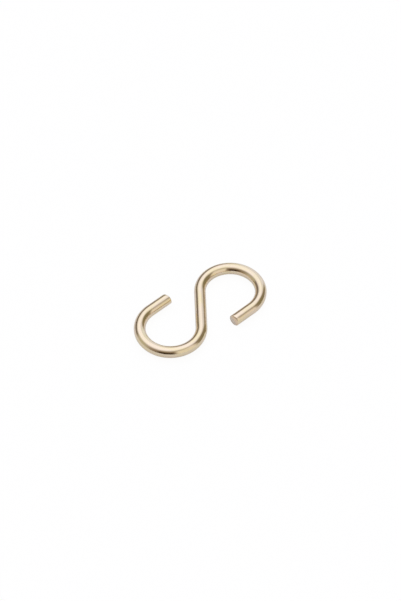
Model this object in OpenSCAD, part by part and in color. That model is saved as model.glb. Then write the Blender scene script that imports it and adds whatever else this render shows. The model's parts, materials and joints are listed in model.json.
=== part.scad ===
// S hook bent from one length of round wire.
// It lies flat: Z = 0 is the surface it rests on, the origin is under the middle of the spine,
// and +X runs through the centres of both loops.

/* [Wire] */
// Diameter of the round wire
wire_d = 3; // [2:0.1:4]
// Radius round the rim of each cut end
end_round = 0.25; // [0.05:0.05:0.6]

/* [Loops] */
// Inside diameter of each loop
loop_inside_d = 12.7; // [9:0.1:20]
// Angle through which the wire turns round each loop
loop_turn = 229.5; // [205:0.5:245]
// Straight wire from the end of each loop to its cut face
end_len = 6.1; // [2:0.1:8]

/* [Spine] */
// Straight wire between the two loops
spine_len = 11.8; // [6:0.1:20]

/* [Hidden] */
// Facets round the wire, and round a full ring of it, where the model is drawn as a mesh
wire_facets = 48;
ring_facets = 240;

wire_r = wire_d / 2;
// Radius of the wire's centre line round a loop
bend_r = loop_inside_d / 2 + wire_r;
// Angle from the spine to the line through both loop centres
spine_tilt = atan2(bend_r, spine_len / 2);
// Edge of a block that takes in half a ring with room to spare
half_ring_block = 3 * (bend_r + wire_r);

// The spine, with its middle at the origin
module spine() {
    rotate([0, 90, 0]) cylinder(r = wire_r, h = spine_len, center = true, $fn = wire_facets);
}

// Turns a loop's frame so that +X is the heading of the wire where it leaves the loop
module heading_out_of_loop() {
    rotate(-loop_turn) children();
}

// All of the space on one side of X = 0 that a loop takes up: side is 1 for +X and -1 for -X
module half_space(side) {
    translate([side * half_ring_block / 2, 0, 0]) cube(half_ring_block, center = true);
}

// What a loop leaves open: behind its start on the spine, and ahead of where the wire leaves it
module loop_opening() {
    intersection() {
        half_space(-1);
        heading_out_of_loop() half_space(1);
    }
}

// A ring of the wire round the origin, cut open where the spine and the straight end meet it
module loop() {
    difference() {
        rotate_extrude($fn = ring_facets)
            translate([bend_r, 0]) circle(r = wire_r, $fn = wire_facets);
        loop_opening();
    }
}

// Half section of the straight end: the wire's radius along X, its length along Y
module cut_end_section() {
    square([wire_r, end_len - end_round]);
    square([wire_r - end_round, end_len]);
    translate([wire_r - end_round, end_len - end_round])
        circle(r = end_round, $fn = wire_facets);
}

// The straight end after a loop, with a flat cut face and a rounded rim
module cut_end() {
    heading_out_of_loop()
        translate([0, bend_r, 0])
            rotate([0, 90, 0])
                rotate_extrude($fn = wire_facets) cut_end_section();
}

// The whole hook, the same from both ends
module hook() {
    color([0.87, 0.75, 0.57])
        translate([0, 0, wire_r])
            rotate(spine_tilt) {
                spine();
                for (half_turn = [0, 180])
                    rotate(half_turn)
                        translate([spine_len / 2, -bend_r, 0]) {
                            loop();
                            cut_end();
                        }
            }
}

hook();
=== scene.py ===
"""The looks of an S hook: its bent brass wire, the studio round it and the camera."""

import json
import math
from collections import namedtuple

import bpy
from bpy.props import FloatProperty, FloatVectorProperty, IntProperty, PointerProperty
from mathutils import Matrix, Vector


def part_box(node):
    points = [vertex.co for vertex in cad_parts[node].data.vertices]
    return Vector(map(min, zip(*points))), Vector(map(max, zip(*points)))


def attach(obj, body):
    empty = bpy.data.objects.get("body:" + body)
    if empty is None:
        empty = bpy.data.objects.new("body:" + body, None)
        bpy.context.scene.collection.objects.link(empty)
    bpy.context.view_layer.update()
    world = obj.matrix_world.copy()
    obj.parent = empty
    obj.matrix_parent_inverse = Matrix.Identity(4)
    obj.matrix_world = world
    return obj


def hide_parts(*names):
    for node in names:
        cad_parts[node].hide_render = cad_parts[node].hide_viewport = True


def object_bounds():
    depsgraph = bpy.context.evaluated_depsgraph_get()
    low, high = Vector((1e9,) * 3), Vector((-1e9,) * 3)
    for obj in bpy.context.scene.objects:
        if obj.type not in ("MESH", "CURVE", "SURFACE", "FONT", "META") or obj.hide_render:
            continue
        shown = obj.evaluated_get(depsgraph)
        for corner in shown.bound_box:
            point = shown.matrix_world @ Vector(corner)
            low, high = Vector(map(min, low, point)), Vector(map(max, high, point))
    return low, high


bl_info = {
    "name": "Brass S Hook",
    "version": (1, 0, 0),
    "blender": (4, 5, 0),
    "location": "3D View > Sidebar > S Hook",
    "description": "Builds an S hook of bent brass wire, the studio round it and the camera",
    "category": "Add Mesh",
}

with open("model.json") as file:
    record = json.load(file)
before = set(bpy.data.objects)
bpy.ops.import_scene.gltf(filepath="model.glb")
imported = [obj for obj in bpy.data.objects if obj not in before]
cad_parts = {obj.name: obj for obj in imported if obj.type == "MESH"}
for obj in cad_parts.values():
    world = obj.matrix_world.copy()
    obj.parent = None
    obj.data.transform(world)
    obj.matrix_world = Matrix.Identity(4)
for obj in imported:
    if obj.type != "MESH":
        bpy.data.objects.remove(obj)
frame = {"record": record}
CAD_LOW, CAD_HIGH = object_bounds()

MILLIMETRE = 0.001

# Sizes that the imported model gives
HOOK_LOW, HOOK_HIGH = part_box("hook")
WIRE_DIAMETER = HOOK_HIGH.z - HOOK_LOW.z
LOOP_SEAT = next(m for m in frame["record"]["mounts"] if m["name"] == "right_loop_seat")
LOOP_INSIDE_RADIUS = LOOP_SEAT["dims"]["r_mm"] * MILLIMETRE
BEND_RADIUS = LOOP_INSIDE_RADIUS + WIRE_DIAMETER / 2
LOOP_CENTRE_X = LOOP_SEAT["pos_m"][0] - LOOP_INSIDE_RADIUS
SPINE_LENGTH = 2 * math.sqrt(LOOP_CENTRE_X ** 2 - BEND_RADIUS ** 2)

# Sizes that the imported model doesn't give
LOOP_TURN = math.radians(229.5)
END_LENGTH = 0.0061
RIM_RADIUS = 0.00025

# The names under which the mesh keeps each point's place on the wire before it was bent, and
# how far it belongs to a cut face
STRAIGHT_WIRE = "straight_wire"
CUT_FACE = "cut_face"


class Value:
    """A node socket that takes part in sums as a number does."""

    def __init__(self, nodes, socket):
        self.nodes = nodes
        self.socket = socket

    def out(self, name):
        """Another output of the same node."""
        socket = next(s for s in self.socket.node.outputs if s.name == name and s.enabled)
        return Value(self.nodes, socket)

    def math(self, operation, *others):
        return self.nodes.add("ShaderNodeMath", {"operation": operation}, [self, *others])

    def __add__(self, other):
        return self.math("ADD", other)

    __radd__ = __add__

    def __sub__(self, other):
        return self.math("SUBTRACT", other)

    def __rsub__(self, other):
        return self.nodes.add("ShaderNodeMath", {"operation": "SUBTRACT"}, [other, self])

    def __mul__(self, other):
        return self.math("MULTIPLY", other)

    __rmul__ = __mul__

    def __truediv__(self, other):
        return self.math("DIVIDE", other)

    def __rtruediv__(self, other):
        return self.nodes.add("ShaderNodeMath", {"operation": "DIVIDE"}, [other, self])

    def __neg__(self):
        return self.math("MULTIPLY", -1.0)

    def clamped(self, low, high):
        return self.math("MAXIMUM", low).math("MINIMUM", high)


class Nodes:
    """Adds nodes to a tree: the node's settings first, then the values or links of its inputs."""

    def __init__(self, tree):
        self.tree = tree

    def add(self, kind, settings=None, values=()):
        """Adds one node, and gives its first output."""
        node = self.tree.nodes.new(kind)
        for name, setting in (settings or {}).items():
            setattr(node, name, setting)
        inputs = [s for s in node.inputs if s.enabled]
        named = values.items() if isinstance(values, dict) else enumerate(values)
        for key, value in named:
            if isinstance(key, int):
                socket = inputs[key]
            else:
                socket = next(s for s in inputs if s.name == key)
            if isinstance(value, Value):
                self.tree.links.new(value.socket, socket)
            else:
                socket.default_value = value
        outputs = [s for s in node.outputs if s.enabled]
        return Value(self, outputs[0]) if outputs else None

    def split(self, vector):
        x = self.add("ShaderNodeSeparateXYZ", None, [vector])
        return x, x.out("Y"), x.out("Z")

    def join(self, x, y, z):
        return self.add("ShaderNodeCombineXYZ", None, [x, y, z])

    def smooth_step(self, value, start, end):
        """Rises smoothly from 0 at start to 1 at end."""
        return self.add(
            "ShaderNodeMapRange", {"interpolation_type": "SMOOTHSTEP"},
            [value, start, end, 0.0, 1.0])

    def mixed(self, share, first, second):
        """A colour that goes from first to second as share goes from 0 to 1."""
        return self.add(
            "ShaderNodeMix", {"data_type": "RGBA"}, {"Factor": share, "A": first, "B": second})

    def noise(self, place, detail, roughness):
        """Smooth noise round 0.5, with features about as wide as 1 in place's own units."""
        return self.add(
            "ShaderNodeTexNoise", None,
            {"Vector": place, "Scale": 1.0, "Detail": detail, "Roughness": roughness})


def rgba(colour):
    return (*colour, 1.0)


class WireSizes(bpy.types.PropertyGroup):
    """The wire, its loops and its cut ends."""

    wire_diameter: FloatProperty(
        name="Wire Diameter", description="Thickness of the round wire",
        default=WIRE_DIAMETER, min=0.001, max=0.01, subtype="DISTANCE", unit="LENGTH")
    loop_inside_diameter: FloatProperty(
        name="Loop Inside Diameter", description="Clear width inside each loop",
        default=2 * LOOP_INSIDE_RADIUS, min=0.005, max=0.05, subtype="DISTANCE", unit="LENGTH")
    loop_turn: FloatProperty(
        name="Loop Turn", description="Angle through which the wire turns round each loop",
        default=LOOP_TURN, min=math.radians(180), max=math.radians(270),
        subtype="ANGLE", unit="ROTATION")
    spine_length: FloatProperty(
        name="Spine Length", description="Straight wire between the two loops",
        default=SPINE_LENGTH, min=0.001, max=0.05, subtype="DISTANCE", unit="LENGTH")
    end_length: FloatProperty(
        name="End Length", description="Straight wire from a loop to its cut face",
        default=END_LENGTH, min=0.001, max=0.02, subtype="DISTANCE", unit="LENGTH")
    rim_radius: FloatProperty(
        name="Rim Radius", description="Rounding of the rim of each cut face",
        default=RIM_RADIUS, min=0.00002, max=0.001, subtype="DISTANCE", unit="LENGTH")
    rings: IntProperty(
        name="Rings", description="Rings of points along the wire and its cut faces, an odd number",
        default=701, min=101, max=1201)
    sides: IntProperty(
        name="Sides", description="Faces round the wire",
        default=72, min=12, max=128)


class BrassFinish(bpy.types.PropertyGroup):
    """The polished brass and its cut faces."""

    brass: FloatVectorProperty(
        name="Brass", description="Colour of the polished wire",
        default=(0.93, 0.775, 0.575), min=0.0, max=1.0, subtype="COLOR")
    yellow_brass: FloatVectorProperty(
        name="Yellow Brass", description="Colour where the wire is a little yellower",
        default=(0.92, 0.78, 0.49), min=0.0, max=1.0, subtype="COLOR")
    olive_brass: FloatVectorProperty(
        name="Olive Brass", description="Colour of the duller streaks along the wire",
        default=(0.83, 0.72, 0.5), min=0.0, max=1.0, subtype="COLOR")
    smooth_cut: FloatVectorProperty(
        name="Smooth Cut",
        description="Colour of the part of a cut face that the blade rubbed smooth",
        default=(0.88, 0.68, 0.47), min=0.0, max=1.0, subtype="COLOR")
    broken_cut: FloatVectorProperty(
        name="Broken Cut", description="Colour of the part of a cut face where the metal tore",
        default=(0.84, 0.735, 0.585), min=0.0, max=1.0, subtype="COLOR")
    # Painted shade: the colour painted into the hollows and at the rim of a cut face's torn part
    torn_painted_shade: FloatVectorProperty(
        name="Torn Painted Shade", description="Colour in the hollows and at the rim of the torn part",
        default=(0.6, 0.5, 0.4), min=0.0, max=1.0, subtype="COLOR")
    polish: FloatProperty(
        name="Polish Roughness", description="Roughness of the polished wire",
        default=0.11, min=0.0, max=1.0, subtype="FACTOR")
    smooth_cut_roughness: FloatProperty(
        name="Smooth Cut Roughness", description="Roughness of the smooth part of a cut face",
        default=0.26, min=0.0, max=1.0, subtype="FACTOR")
    broken_cut_roughness: FloatProperty(
        name="Broken Cut Roughness", description="Roughness of the torn part of a cut face",
        default=0.42, min=0.0, max=1.0, subtype="FACTOR")
    draw_line_depth: FloatProperty(
        name="Draw Line Depth", description="Height of the fine lines along the wire",
        default=0.0000015, min=0.0, max=0.0001, precision=7, subtype="DISTANCE", unit="LENGTH")


class StudioSettings(bpy.types.PropertyGroup):
    """The floor, the light and the camera."""

    camera_azimuth: FloatProperty(
        name="Camera Azimuth", description="Side from which the camera looks, 0 along +Y",
        default=math.radians(-38.9), subtype="ANGLE", unit="ROTATION")
    camera_elevation: FloatProperty(
        name="Camera Elevation", description="Height of the camera above the horizon",
        default=math.radians(49.7), subtype="ANGLE", unit="ROTATION")
    camera_distance: FloatProperty(
        name="Camera Distance", description="Distance from the camera to the middle of the hook",
        default=0.5116, min=0.05, max=5.0, subtype="DISTANCE", unit="LENGTH")
    pixels_per_metre: FloatProperty(
        name="Pixels Per Metre", description="Scale of the picture at the middle of the hook",
        default=3909.0, min=100.0, max=20000.0)
    floor_colour: FloatVectorProperty(
        name="Floor Colour", description="Colour of the floor",
        default=(0.86, 0.86, 0.86), min=0.0, max=1.0, subtype="COLOR")
    shadow_share: FloatProperty(
        name="Shadow Share", description="How much of the floor's own shading the camera sees",
        default=0.12, min=0.0, max=1.0, subtype="FACTOR")


# The bent wire


def wire_inputs(tree):
    """The inputs of the wire's node tree, by name."""
    kinds = {
        "Wire Diameter": "NodeSocketFloat",
        "Loop Inside Diameter": "NodeSocketFloat",
        "Loop Turn": "NodeSocketFloat",
        "Spine Length": "NodeSocketFloat",
        "End Length": "NodeSocketFloat",
        "Rim Radius": "NodeSocketFloat",
        "Rings": "NodeSocketInt",
        "Sides": "NodeSocketInt",
        "Brass": "NodeSocketMaterial",
    }
    return {
        name: tree.interface.new_socket(name=name, in_out="INPUT", socket_type=kind)
        for name, kind in kinds.items()
    }


# Rings of points from the middle of a cut face to its rim, and from there round the rim
FACE_RINGS = 22
RIM_RINGS = 10
# Rings up to this share of FACE_RINGS lie on the face. It is just over 1, to take in the last one.
ON_FACE_LIMIT = 1.001
# The side that the blade came from, as an angle from the outer side of the loop towards the top
BLADE_ANGLE = math.radians(50)
# The blade drags the wire's edge down and inwards on its side, over this length of the wire. It
# starts and is full at these shares of the wire's radius towards the blade.
DRAG_LENGTH = 0.0009
DRAGGED_DOWN = 0.00017
DRAGGED_IN = 0.00014
DRAG_FADE = (0.2, 1.0)
# The rim's radius opposite the blade, as a share of its radius on the blade's side
SHARP_RIM_SHARE = 0.2
# The burr opposite the blade: its height, where it starts and is full as shares of the wire's
# radius, and the same round the wire, as cosines of the angle from the side opposite the blade
BURR_HEIGHT = 0.00003
BURR_FADE = (0.86, 0.97)
BURR_FADE_ROUND = (0.4, 0.9)
# How much lower the torn part of a cut face lies than its smooth part, how uneven it is, and the
# shares of the wire's radius between which both fade out before the rim
TEAR_DEPTH = 0.00004
TEAR_UNEVENNESS = 0.00003
TEAR_GRAINS_PER_METRE = 3500
TEAR_DETAIL = 2.0
TEAR_FADE = (0.8, 0.97)
# The torn part turns into the smooth part between these shares of the wire's radius towards the
# blade
TORN_TO_SMOOTH = (0.0, 0.16)
# The cut face turns into drawn wire between these shares of the way round the rim
FACE_TO_WIRE = (0.1, 0.75)
NOISE_ROUGHNESS = 0.5


def straight_wire_place(nodes, given):
    """Rolls a sheet that is 2 long and 1 wide into the cut wire, straight and along Z.

    Also gives how far each point belongs to a cut face, from 0 to 1."""
    radius = given["Wire Diameter"] / 2
    bend_radius = given["Loop Inside Diameter"] / 2 + radius
    half_length = given["Spine Length"] / 2 + bend_radius * given["Loop Turn"] + given["End Length"]
    along, across, _ = nodes.split(nodes.add("GeometryNodeInputPosition"))
    which_half = along.math("SIGN")
    turn = across * math.tau
    turn_cosine = turn.math("COSINE")
    turn_sine = turn.math("SINE")
    # 1 on the side that the blade came from and -1 opposite it
    blade_side = (turn_cosine * which_half * math.cos(BLADE_ANGLE)
                  + turn_sine * math.sin(BLADE_ANGLE))
    rim = given["Rim Radius"] * ((blade_side + 1) * ((1 - SHARP_RIM_SHARE) / 2) + SHARP_RIM_SHARE)

    # How far each ring of points is across the face, round the rim and down the wire
    half_rings = (given["Rings"] - 1) / 2
    ring = (1 - along.math("ABSOLUTE")) * half_rings
    quarter_turn = math.pi / 2
    face_share = ((ring / FACE_RINGS).clamped(0, 1) * quarter_turn).math("SINE")
    rim_share = ((ring - FACE_RINGS) / RIM_RINGS).clamped(0, 1)
    rim_angle = rim_share * quarter_turn
    end_rings = FACE_RINGS + RIM_RINGS
    body_share = ((ring - end_rings) / (half_rings - end_rings)).clamped(0, 1)
    on_face = 1 - (ring / FACE_RINGS).math("GREATER_THAN", ON_FACE_LIMIT)
    distance_out = face_share * (radius - rim) + rim * rim_angle.math("SINE")
    depth = rim * (1 - rim_angle.math("COSINE")) + body_share * (half_length - rim)

    # The torn part of the face, and the burr opposite the blade
    out_share = distance_out / radius
    towards_blade = blade_side * out_share
    torn = on_face * (1 - nodes.smooth_step(towards_blade, *TORN_TO_SMOOTH))
    before_rim = 1 - nodes.smooth_step(out_share, *TEAR_FADE)
    place = nodes.join(
        turn_cosine * distance_out * TEAR_GRAINS_PER_METRE,
        turn_sine * distance_out * TEAR_GRAINS_PER_METRE, which_half)
    uneven = (nodes.noise(place, TEAR_DETAIL, NOISE_ROUGHNESS) - 0.5) * TEAR_UNEVENNESS
    burr = (nodes.smooth_step(out_share, *BURR_FADE)
            * nodes.smooth_step(-blade_side, *BURR_FADE_ROUND) * (1 - rim_share))
    depth = depth + torn * before_rim * (uneven + TEAR_DEPTH) - burr * BURR_HEIGHT

    # The edge that the blade dragged over
    near_end = (1 - depth / DRAG_LENGTH).clamped(0, 1)
    dragged = near_end * near_end * nodes.smooth_step(towards_blade, *DRAG_FADE)
    depth = depth + dragged * DRAGGED_DOWN
    distance_out = distance_out * (1 - dragged * DRAGGED_IN / radius)

    place = nodes.join(
        distance_out * turn_cosine, distance_out * turn_sine, which_half * (half_length - depth))
    return place, 1 - nodes.smooth_step(rim_share, *FACE_TO_WIRE)


def bent_wire_place(nodes, given, straight):
    """Bends the straight wire: a spine, a loop at each end of it and a straight end after each."""
    radius = given["Wire Diameter"] / 2
    bend_radius = given["Loop Inside Diameter"] / 2 + radius
    half_spine = given["Spine Length"] / 2
    side, up, along = nodes.split(straight)
    from_middle = along.math("ABSOLUTE")
    turned = ((from_middle - half_spine) / bend_radius).clamped(0, given["Loop Turn"])
    run_in = from_middle.math("MINIMUM", half_spine)
    run_out = (from_middle - half_spine - bend_radius * given["Loop Turn"]).math("MAXIMUM", 0)
    sine = turned.math("SINE")
    cosine = turned.math("COSINE")
    centre_x = run_in + bend_radius * sine + run_out * cosine
    centre_y = bend_radius * (cosine - 1) - run_out * sine
    which_half = along.math("SIGN")
    x = which_half * centre_x + side * sine
    y = which_half * centre_y + side * cosine
    tilt = bend_radius.math("ARCTAN2", half_spine)
    tilt_sine = tilt.math("SINE")
    tilt_cosine = tilt.math("COSINE")
    return nodes.join(x * tilt_cosine - y * tilt_sine, x * tilt_sine + y * tilt_cosine, up + radius)


# Points closer than this are one: those of the sheet's two long edges, and of a face's middle
MERGE_DISTANCE = 1e-7


def wire_tree():
    """A node tree that makes the whole bent wire from its sizes."""
    tree = bpy.data.node_groups.new("bent_wire", "GeometryNodeTree")
    sockets = wire_inputs(tree)
    tree.interface.new_socket(name="Geometry", in_out="OUTPUT", socket_type="NodeSocketGeometry")
    nodes = Nodes(tree)
    group_input = nodes.add("NodeGroupInput")
    given = {name: group_input.out(name) for name in sockets}
    sheet = nodes.add(
        "GeometryNodeMeshGrid", None,
        {"Size X": 2.0, "Size Y": 1.0,
         "Vertices X": given["Rings"], "Vertices Y": given["Sides"] + 1})
    place, cut_face = straight_wire_place(nodes, given)
    marked = nodes.add(
        "GeometryNodeStoreNamedAttribute", {"data_type": "FLOAT", "domain": "POINT"},
        {"Geometry": sheet, "Name": CUT_FACE, "Value": cut_face})
    rolled = nodes.add(
        "GeometryNodeStoreNamedAttribute", {"data_type": "FLOAT_VECTOR", "domain": "POINT"},
        {"Geometry": marked, "Name": STRAIGHT_WIRE, "Value": place})
    straight = nodes.add(
        "GeometryNodeInputNamedAttribute", {"data_type": "FLOAT_VECTOR"}, {"Name": STRAIGHT_WIRE})
    bent = nodes.add(
        "GeometryNodeSetPosition", None,
        {"Geometry": rolled, "Position": bent_wire_place(nodes, given, straight)})
    merged = nodes.add(
        "GeometryNodeMergeByDistance", None, {"Geometry": bent, "Distance": MERGE_DISTANCE})
    # Rolling the sheet leaves its faces pointing inwards
    outward = nodes.add("GeometryNodeFlipFaces", None, {"Mesh": merged})
    smooth = nodes.add(
        "GeometryNodeSetShadeSmooth", None, {"Geometry": outward, "Shade Smooth": True})
    real = nodes.add("GeometryNodeRealizeInstances", None, {"Geometry": smooth})
    finished = nodes.add(
        "GeometryNodeSetMaterial", None, {"Geometry": real, "Material": given["Brass"]})
    nodes.add("NodeGroupOutput", None, {"Geometry": finished})
    return tree, sockets


# A pattern of noise on the straight wire: its waves per millimetre across and along the wire, and
# its detail and roughness
Pattern = namedtuple("Pattern", "across along detail roughness")
# What drawing leaves along the wire
DRAW_LINES = Pattern(9, 0.12, 3.0, 0.6)
BROAD_LINES = Pattern(2.4, 0.08, 2.0, NOISE_ROUGHNESS)
STREAKS = Pattern(3.6, 0.09, 2.0, 0.6)
# What bending and handling leave on it
SMUDGES = Pattern(0.8, 0.25, 2.0, NOISE_ROUGHNESS)
DENTS = Pattern(1.6, 1.1, 1.0, NOISE_ROUGHNESS)
# What tearing leaves on a cut face
GRAIN = Pattern(14, 14, 3.0, 0.6)
MOTTLE = Pattern(4.5, 4.5, 2.0, NOISE_ROUGHNESS)
# Where a pattern starts and is full: yellow brass in the smudges, olive brass in the streaks, and
# painted shade in the hollows of the torn part's mottle
YELLOW_FADE = (0.42, 0.66)
OLIVE_FADE = (0.5, 0.72)
HOLLOW_PAINTED_SHADE_FADE = (0.4, 0.7)
# How far the grain shifts the edge of the torn part, as a share of the wire's radius
RAGGED_EDGE = 0.2
# How much painted shade, in the torn part's shade colour, shows in a hollow and at the rim of the
# torn part, and the shares of the wire's radius where the rim's painted shade starts and is full
HOLLOW_PAINTED_SHADE_SHARE = 0.5
RIM_SHADE_SHARE = 0.8
RIM_SHADE_FADE = (0.8, 1.0)
# How much rougher draw lines, smudges and olive streaks are, and the smoothest the brass gets
DRAW_LINE_ROUGHNESS = 0.06
SMUDGE_ROUGHNESS = 0.08
OLIVE_ROUGHNESS = 0.03
LEAST_ROUGHNESS = 0.05
# How high the patterns stand on the wire, in draw line depths
DRAW_LINE_HEIGHT = 1.6
BROAD_LINE_HEIGHT = 4.0
DENT_HEIGHT = 6.0
# The same on a cut face, where the draw lines end as fine dots
DRAW_LINE_END_HEIGHT = 4.0
GRAIN_HEIGHT = 10.0
MOTTLE_HEIGHT = 22.0


def brass_material(finish, sizes):
    """Polished drawn wire, with sheared faces at its ends."""
    material = bpy.data.materials.new("polished_brass")
    material.use_nodes = True
    material.node_tree.nodes.clear()
    nodes = Nodes(material.node_tree)
    straight = nodes.add("ShaderNodeAttribute", {"attribute_name": STRAIGHT_WIRE}).out("Vector")
    cut_face = nodes.add("ShaderNodeAttribute", {"attribute_name": CUT_FACE}).out("Fac")
    side, up, along = [distance / MILLIMETRE for distance in nodes.split(straight)]
    radius = sizes.wire_diameter / 2 / MILLIMETRE
    from_blade = (side * along.math("SIGN") * math.cos(BLADE_ANGLE)
                  + up * math.sin(BLADE_ANGLE)) / radius
    out_share = (side * side + up * up).math("SQRT") / radius

    def on_wire(pattern):
        stretched = nodes.join(side * pattern.across, up * pattern.across, along * pattern.along)
        return nodes.noise(stretched, pattern.detail, pattern.roughness)

    draw_lines = on_wire(DRAW_LINES)
    broad_lines = on_wire(BROAD_LINES)
    streaks = on_wire(STREAKS)
    smudges = on_wire(SMUDGES)
    dents = on_wire(DENTS)
    grain = on_wire(GRAIN)
    mottle = on_wire(MOTTLE)

    yellow = nodes.smooth_step(smudges, *YELLOW_FADE)
    olive = nodes.smooth_step(streaks, *OLIVE_FADE)
    wire_colour = nodes.mixed(yellow, rgba(finish.brass), rgba(finish.yellow_brass))
    wire_colour = nodes.mixed(olive, wire_colour, rgba(finish.olive_brass))
    torn = 1 - nodes.smooth_step(from_blade + (grain - 0.5) * RAGGED_EDGE, *TORN_TO_SMOOTH)
    # Painted shade in the torn part's hollows
    painted_hollow_shade = nodes.smooth_step(mottle, *HOLLOW_PAINTED_SHADE_FADE) * HOLLOW_PAINTED_SHADE_SHARE
    torn_colour = nodes.mixed(painted_hollow_shade, rgba(finish.broken_cut), rgba(finish.torn_painted_shade))
    face_colour = nodes.mixed(torn, rgba(finish.smooth_cut), torn_colour)
    # Painted shade at the rim of the torn part
    rim_shade = nodes.smooth_step(out_share, *RIM_SHADE_FADE) * torn * RIM_SHADE_SHARE
    face_colour = nodes.mixed(rim_shade, face_colour, rgba(finish.torn_painted_shade))
    colour = nodes.mixed(cut_face, wire_colour, face_colour)

    wire_roughness = (finish.polish + (draw_lines - 0.5) * DRAW_LINE_ROUGHNESS
                      + (smudges - 0.5) * SMUDGE_ROUGHNESS + olive * OLIVE_ROUGHNESS)
    face_roughness = (torn * (finish.broken_cut_roughness - finish.smooth_cut_roughness)
                      + finish.smooth_cut_roughness)
    roughness = wire_roughness + cut_face * (face_roughness - wire_roughness)

    wire_height = (draw_lines * DRAW_LINE_HEIGHT + broad_lines * BROAD_LINE_HEIGHT
                   + dents * DENT_HEIGHT)
    torn_height = grain * GRAIN_HEIGHT + mottle * MOTTLE_HEIGHT
    face_height = draw_lines * DRAW_LINE_END_HEIGHT + torn * torn_height
    height = wire_height + cut_face * (face_height - wire_height)
    bump = nodes.add(
        "ShaderNodeBump", None,
        {"Strength": 1.0, "Distance": finish.draw_line_depth, "Height": height})
    shader = nodes.add(
        "ShaderNodeBsdfPrincipled", None,
        {"Base Color": colour, "Metallic": 1.0,
         "Roughness": roughness.clamped(LEAST_ROUGHNESS, 1), "Normal": bump})
    nodes.add("ShaderNodeOutputMaterial", None, [shader])
    return material


class HOOK_OT_bend_wire(bpy.types.Operator):
    """Makes the brass wire, bent into its S, in place of the plain CAD hook"""

    bl_idname = "hook.bend_wire"
    bl_label = "Bend the Wire"

    def execute(self, context):
        sizes = context.scene.hook_wire
        material = brass_material(context.scene.hook_finish, sizes)
        tree, sockets = wire_tree()
        maker = bpy.data.objects.new("wire_maker", bpy.data.meshes.new("wire_maker"))
        context.scene.collection.objects.link(maker)
        modifier = maker.modifiers.new("bent_wire", "NODES")
        modifier.node_group = tree
        for name, value in (
            ("Wire Diameter", sizes.wire_diameter),
            ("Loop Inside Diameter", sizes.loop_inside_diameter),
            ("Loop Turn", sizes.loop_turn),
            ("Spine Length", sizes.spine_length),
            ("End Length", sizes.end_length),
            ("Rim Radius", sizes.rim_radius),
            ("Rings", sizes.rings),
            ("Sides", sizes.sides),
            ("Brass", material),
        ):
            modifier[sockets[name].identifier] = value
        evaluated = maker.evaluated_get(context.evaluated_depsgraph_get())
        mesh = bpy.data.meshes.new_from_object(evaluated)
        # The sheet starts with an empty material slot, before the brass
        mesh.materials.pop(index=0)
        bpy.data.objects.remove(maker)
        wire = bpy.data.objects.new("hook_wire", mesh)
        context.scene.collection.objects.link(wire)
        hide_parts("hook")
        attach(wire, "root")
        return {"FINISHED"}


# The studio

# A soft-edged card or lamp round the hook. Its edges are in degrees: left and right are azimuths
# from the camera's side, growing to the camera's right, and top is an elevation. Each fade is the
# width over which the edge before it softens. The floor hides what is below the horizon.
Card = namedtuple("Card", "left left_fade right right_fade top top_fade colour")
CARDS = {
    "left wall": Card(-112, 16, -62, 34, 34, 26, (0.50, 0.49, 0.43)),
    "dark front": Card(-36, 26, 9, 14, 35, 15, (0.065, 0.043, 0.028)),
    "front right panel": Card(17, 14, 79, 22, 54, 22, (0.80, 0.765, 0.72)),
    "dark right": Card(86, 22, 131, 22, 50, 20, (0.24, 0.21, 0.14)),
    "back right panel": Card(139, 14, 178, 16, 40, 26, (0.80, 0.84, 0.95)),
    "dark back left": Card(-172, 10, -108, 16, 29, 12, (0.21, 0.18, 0.165)),
}
WALL = (0.30, 0.245, 0.195)
SOFTBOX = (1.06, 1.085, 1.22)
# The overhead softbox: its middle, and how far from it, in degrees, it starts and stops fading
SOFTBOX_AZIMUTH = -158
SOFTBOX_ELEVATION = 70
SOFTBOX_FADE = (20, 64)
# How strongly the same studio lights what isn't polished
PLAIN_LIGHT = (0.95, 0.95, 0.95)
WHITE = (1.0, 1.0, 1.0)


def direction_from_camera_side(azimuth, elevation, camera_azimuth):
    """A unit vector in the row frame, from angles in degrees that start on the camera's side."""
    toward = Vector((math.sin(camera_azimuth), -math.cos(camera_azimuth), 0))
    right = Vector((math.cos(camera_azimuth), math.sin(camera_azimuth), 0))
    azimuth = math.radians(azimuth)
    elevation = math.radians(elevation)
    level = toward * math.cos(azimuth) + right * math.sin(azimuth)
    return level * math.cos(elevation) + Vector((0, 0, math.sin(elevation)))


def above_edge(nodes, value, edge, fade):
    """0 below a soft edge and 1 above it."""
    return nodes.smooth_step(value, edge - fade / 2, edge + fade / 2)


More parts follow.
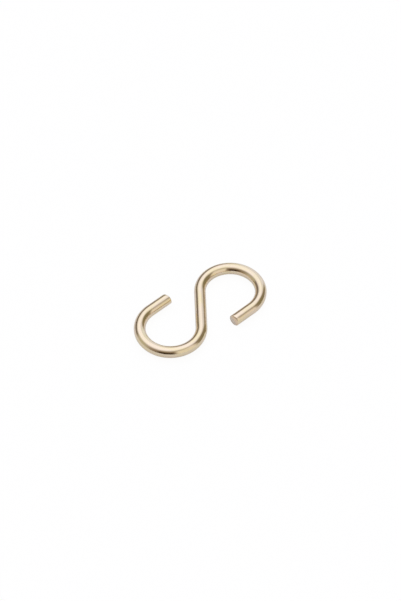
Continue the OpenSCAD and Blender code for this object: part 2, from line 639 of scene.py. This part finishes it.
def studio_world(settings):
    """The surroundings: white to the camera, and a wall, a softbox and cards to all else."""
    world = bpy.data.worlds.new("studio")
    world.use_nodes = True
    world.node_tree.nodes.clear()
    nodes = Nodes(world.node_tree)
    x, y, z = nodes.split(nodes.add("ShaderNodeTexCoord").out("Generated"))
    camera_azimuth = settings.camera_azimuth
    toward = x * math.sin(camera_azimuth) - y * math.cos(camera_azimuth)
    rightward = x * math.cos(camera_azimuth) + y * math.sin(camera_azimuth)
    azimuth = rightward.math("ARCTAN2", toward) * math.degrees(1)
    elevation = z.clamped(-1, 1).math("ARCSINE") * math.degrees(1)

    box = direction_from_camera_side(SOFTBOX_AZIMUTH, SOFTBOX_ELEVATION, camera_azimuth)
    towards_box = (x * box.x + y * box.y + z * box.z).clamped(-1, 1)
    off_box = towards_box.math("ARCCOSINE") * math.degrees(1)
    studio = nodes.mixed(nodes.smooth_step(off_box, *SOFTBOX_FADE), rgba(SOFTBOX), rgba(WALL))
    for card in CARDS.values():
        # Azimuths are taken from the card's middle, so that none of them wraps round inside it
        middle = (card.left + card.right) / 2
        from_middle = (azimuth - middle).math("WRAP", 180, -180)
        past_left = above_edge(nodes, from_middle, card.left - middle, card.left_fade)
        past_right = above_edge(nodes, from_middle, card.right - middle, card.right_fade)
        past_top = above_edge(nodes, elevation, card.top, card.top_fade)
        on_card = past_left * (1 - past_right) * (1 - past_top)
        studio = nodes.mixed(on_card, studio, rgba(card.colour))

    path = nodes.add("ShaderNodeLightPath")
    camera_ray = path.out("Is Camera Ray")
    mirrored = path.out("Is Glossy Ray") + path.out("Is Transmission Ray")
    backdrop = nodes.mixed((camera_ray + mirrored).clamped(0, 1), rgba(PLAIN_LIGHT), rgba(WHITE))
    in_front = nodes.mixed(camera_ray, studio, rgba(WHITE))
    colour = nodes.add(
        "ShaderNodeMix", {"data_type": "RGBA", "blend_type": "MULTIPLY"},
        {"Factor": 1.0, "A": backdrop, "B": in_front})
    background = nodes.add("ShaderNodeBackground", None, {"Color": colour, "Strength": 1.0})
    nodes.add("ShaderNodeOutputWorld", None, [background])
    return world


FLOOR_HALF_WIDTH = 0.8
# The floor's own light, at which the camera sees white where nothing shades it
FLOOR_LIGHT = 1.06
# How much of that light the polished metal mirrors, and its tint there
MIRRORED_SHARE = 0.28
MIRRORED_WHITE = (0.98, 1.01, 1.14)


def floor_material(settings):
    """A white floor that keeps a faint shadow of the hook, and that the metal mirrors."""
    material = bpy.data.materials.new("white_floor")
    material.use_nodes = True
    material.node_tree.nodes.clear()
    nodes = Nodes(material.node_tree)
    shaded = nodes.add("ShaderNodeBsdfDiffuse", None, {"Color": rgba(settings.floor_colour)})
    path = nodes.add("ShaderNodeLightPath")
    seen = path.out("Is Camera Ray")
    mirrored = (path.out("Is Glossy Ray") + path.out("Is Transmission Ray")).clamped(0, 1)
    tint = nodes.mixed(mirrored, rgba(WHITE), rgba(MIRRORED_WHITE))
    white = nodes.add("ShaderNodeEmission", None, {"Color": tint, "Strength": FLOOR_LIGHT})
    white_share = seen * (1 - settings.shadow_share) + mirrored * MIRRORED_SHARE
    shader = nodes.add("ShaderNodeMixShader", None, [white_share, shaded, white])
    nodes.add("ShaderNodeOutputMaterial", None, [shader])
    return material


# Where the middle of the hook lies in the picture, from the picture's own middle
HOOK_RIGHT_PX = 0.2
HOOK_BELOW_PX = 9.0
PICTURE_LONG_SIDE_PX = 601
SENSOR_LONG_SIDE_MM = 36
# The camera's range, in metres
NEAREST_SEEN = 0.01
FURTHEST_SEEN = 10


class HOOK_OT_set_stage(bpy.types.Operator):
    """Makes the white floor, the surroundings that light the hook and the camera"""

    bl_idname = "hook.set_stage"
    bl_label = "Set the Stage"

    def execute(self, context):
        settings = context.scene.hook_studio
        self.make_floor(context, settings)
        context.scene.world = studio_world(settings)
        self.make_camera(context, settings)
        context.scene.view_settings.view_transform = "Standard"
        return {"FINISHED"}

    def make_floor(self, context, settings):
        w = FLOOR_HALF_WIDTH
        mesh = bpy.data.meshes.new("floor")
        mesh.from_pydata([(-w, -w, 0), (w, -w, 0), (w, w, 0), (-w, w, 0)], [], [(0, 1, 2, 3)])
        mesh.materials.append(floor_material(settings))
        floor = bpy.data.objects.new("floor", mesh)
        context.scene.collection.objects.link(floor)

    def make_camera(self, context, settings):
        elevation = math.degrees(settings.camera_elevation)
        back = direction_from_camera_side(0, elevation, settings.camera_azimuth)
        right = direction_from_camera_side(90, 0, settings.camera_azimuth)
        up = back.cross(right)
        middle = Vector((0, 0, (CAD_LOW.z + CAD_HIGH.z) / 2))
        focal_px = settings.pixels_per_metre * settings.camera_distance
        aim = -back + up * (HOOK_BELOW_PX / focal_px) - right * (HOOK_RIGHT_PX / focal_px)
        data = bpy.data.cameras.new("camera")
        data.sensor_width = SENSOR_LONG_SIDE_MM
        data.lens = focal_px * SENSOR_LONG_SIDE_MM / PICTURE_LONG_SIDE_PX
        data.clip_start = NEAREST_SEEN
        data.clip_end = FURTHEST_SEEN
        camera = bpy.data.objects.new("camera", data)
        camera.location = middle + back * settings.camera_distance
        camera.rotation_mode = "QUATERNION"
        camera.rotation_quaternion = aim.to_track_quat("-Z", "Y")
        context.scene.collection.objects.link(camera)
        context.scene.camera = camera


class HOOK_PT_panel(bpy.types.Panel):
    """Lists the hook's sizes, its finish and the studio, with a button for each operator"""

    bl_idname = "HOOK_PT_panel"
    bl_label = "S Hook"
    bl_space_type = "VIEW_3D"
    bl_region_type = "UI"
    bl_category = "S Hook"

    def draw(self, context):
        scene = context.scene
        for title, group, operator in (
            ("Wire", scene.hook_wire, None),
            ("Finish", scene.hook_finish, HOOK_OT_bend_wire.bl_idname),
            ("Studio", scene.hook_studio, HOOK_OT_set_stage.bl_idname),
        ):
            box = self.layout.box()
            box.label(text=title)
            for name in group.bl_rna.properties.keys():
                if name not in ("rna_type", "name"):
                    box.prop(group, name)
            if operator:
                box.operator(operator)


CLASSES = (
    WireSizes, BrassFinish, StudioSettings, HOOK_OT_bend_wire, HOOK_OT_set_stage, HOOK_PT_panel)


def register():
    for cls in CLASSES:
        bpy.utils.register_class(cls)
    bpy.types.Scene.hook_wire = PointerProperty(type=WireSizes)
    bpy.types.Scene.hook_finish = PointerProperty(type=BrassFinish)
    bpy.types.Scene.hook_studio = PointerProperty(type=StudioSettings)


def unregister():
    del bpy.types.Scene.hook_studio
    del bpy.types.Scene.hook_finish
    del bpy.types.Scene.hook_wire
    for cls in reversed(CLASSES):
        bpy.utils.unregister_class(cls)


def main():
    register()
    bpy.ops.hook.set_stage()
    bpy.ops.hook.bend_wire()


if __name__ == "__main__":
    main()
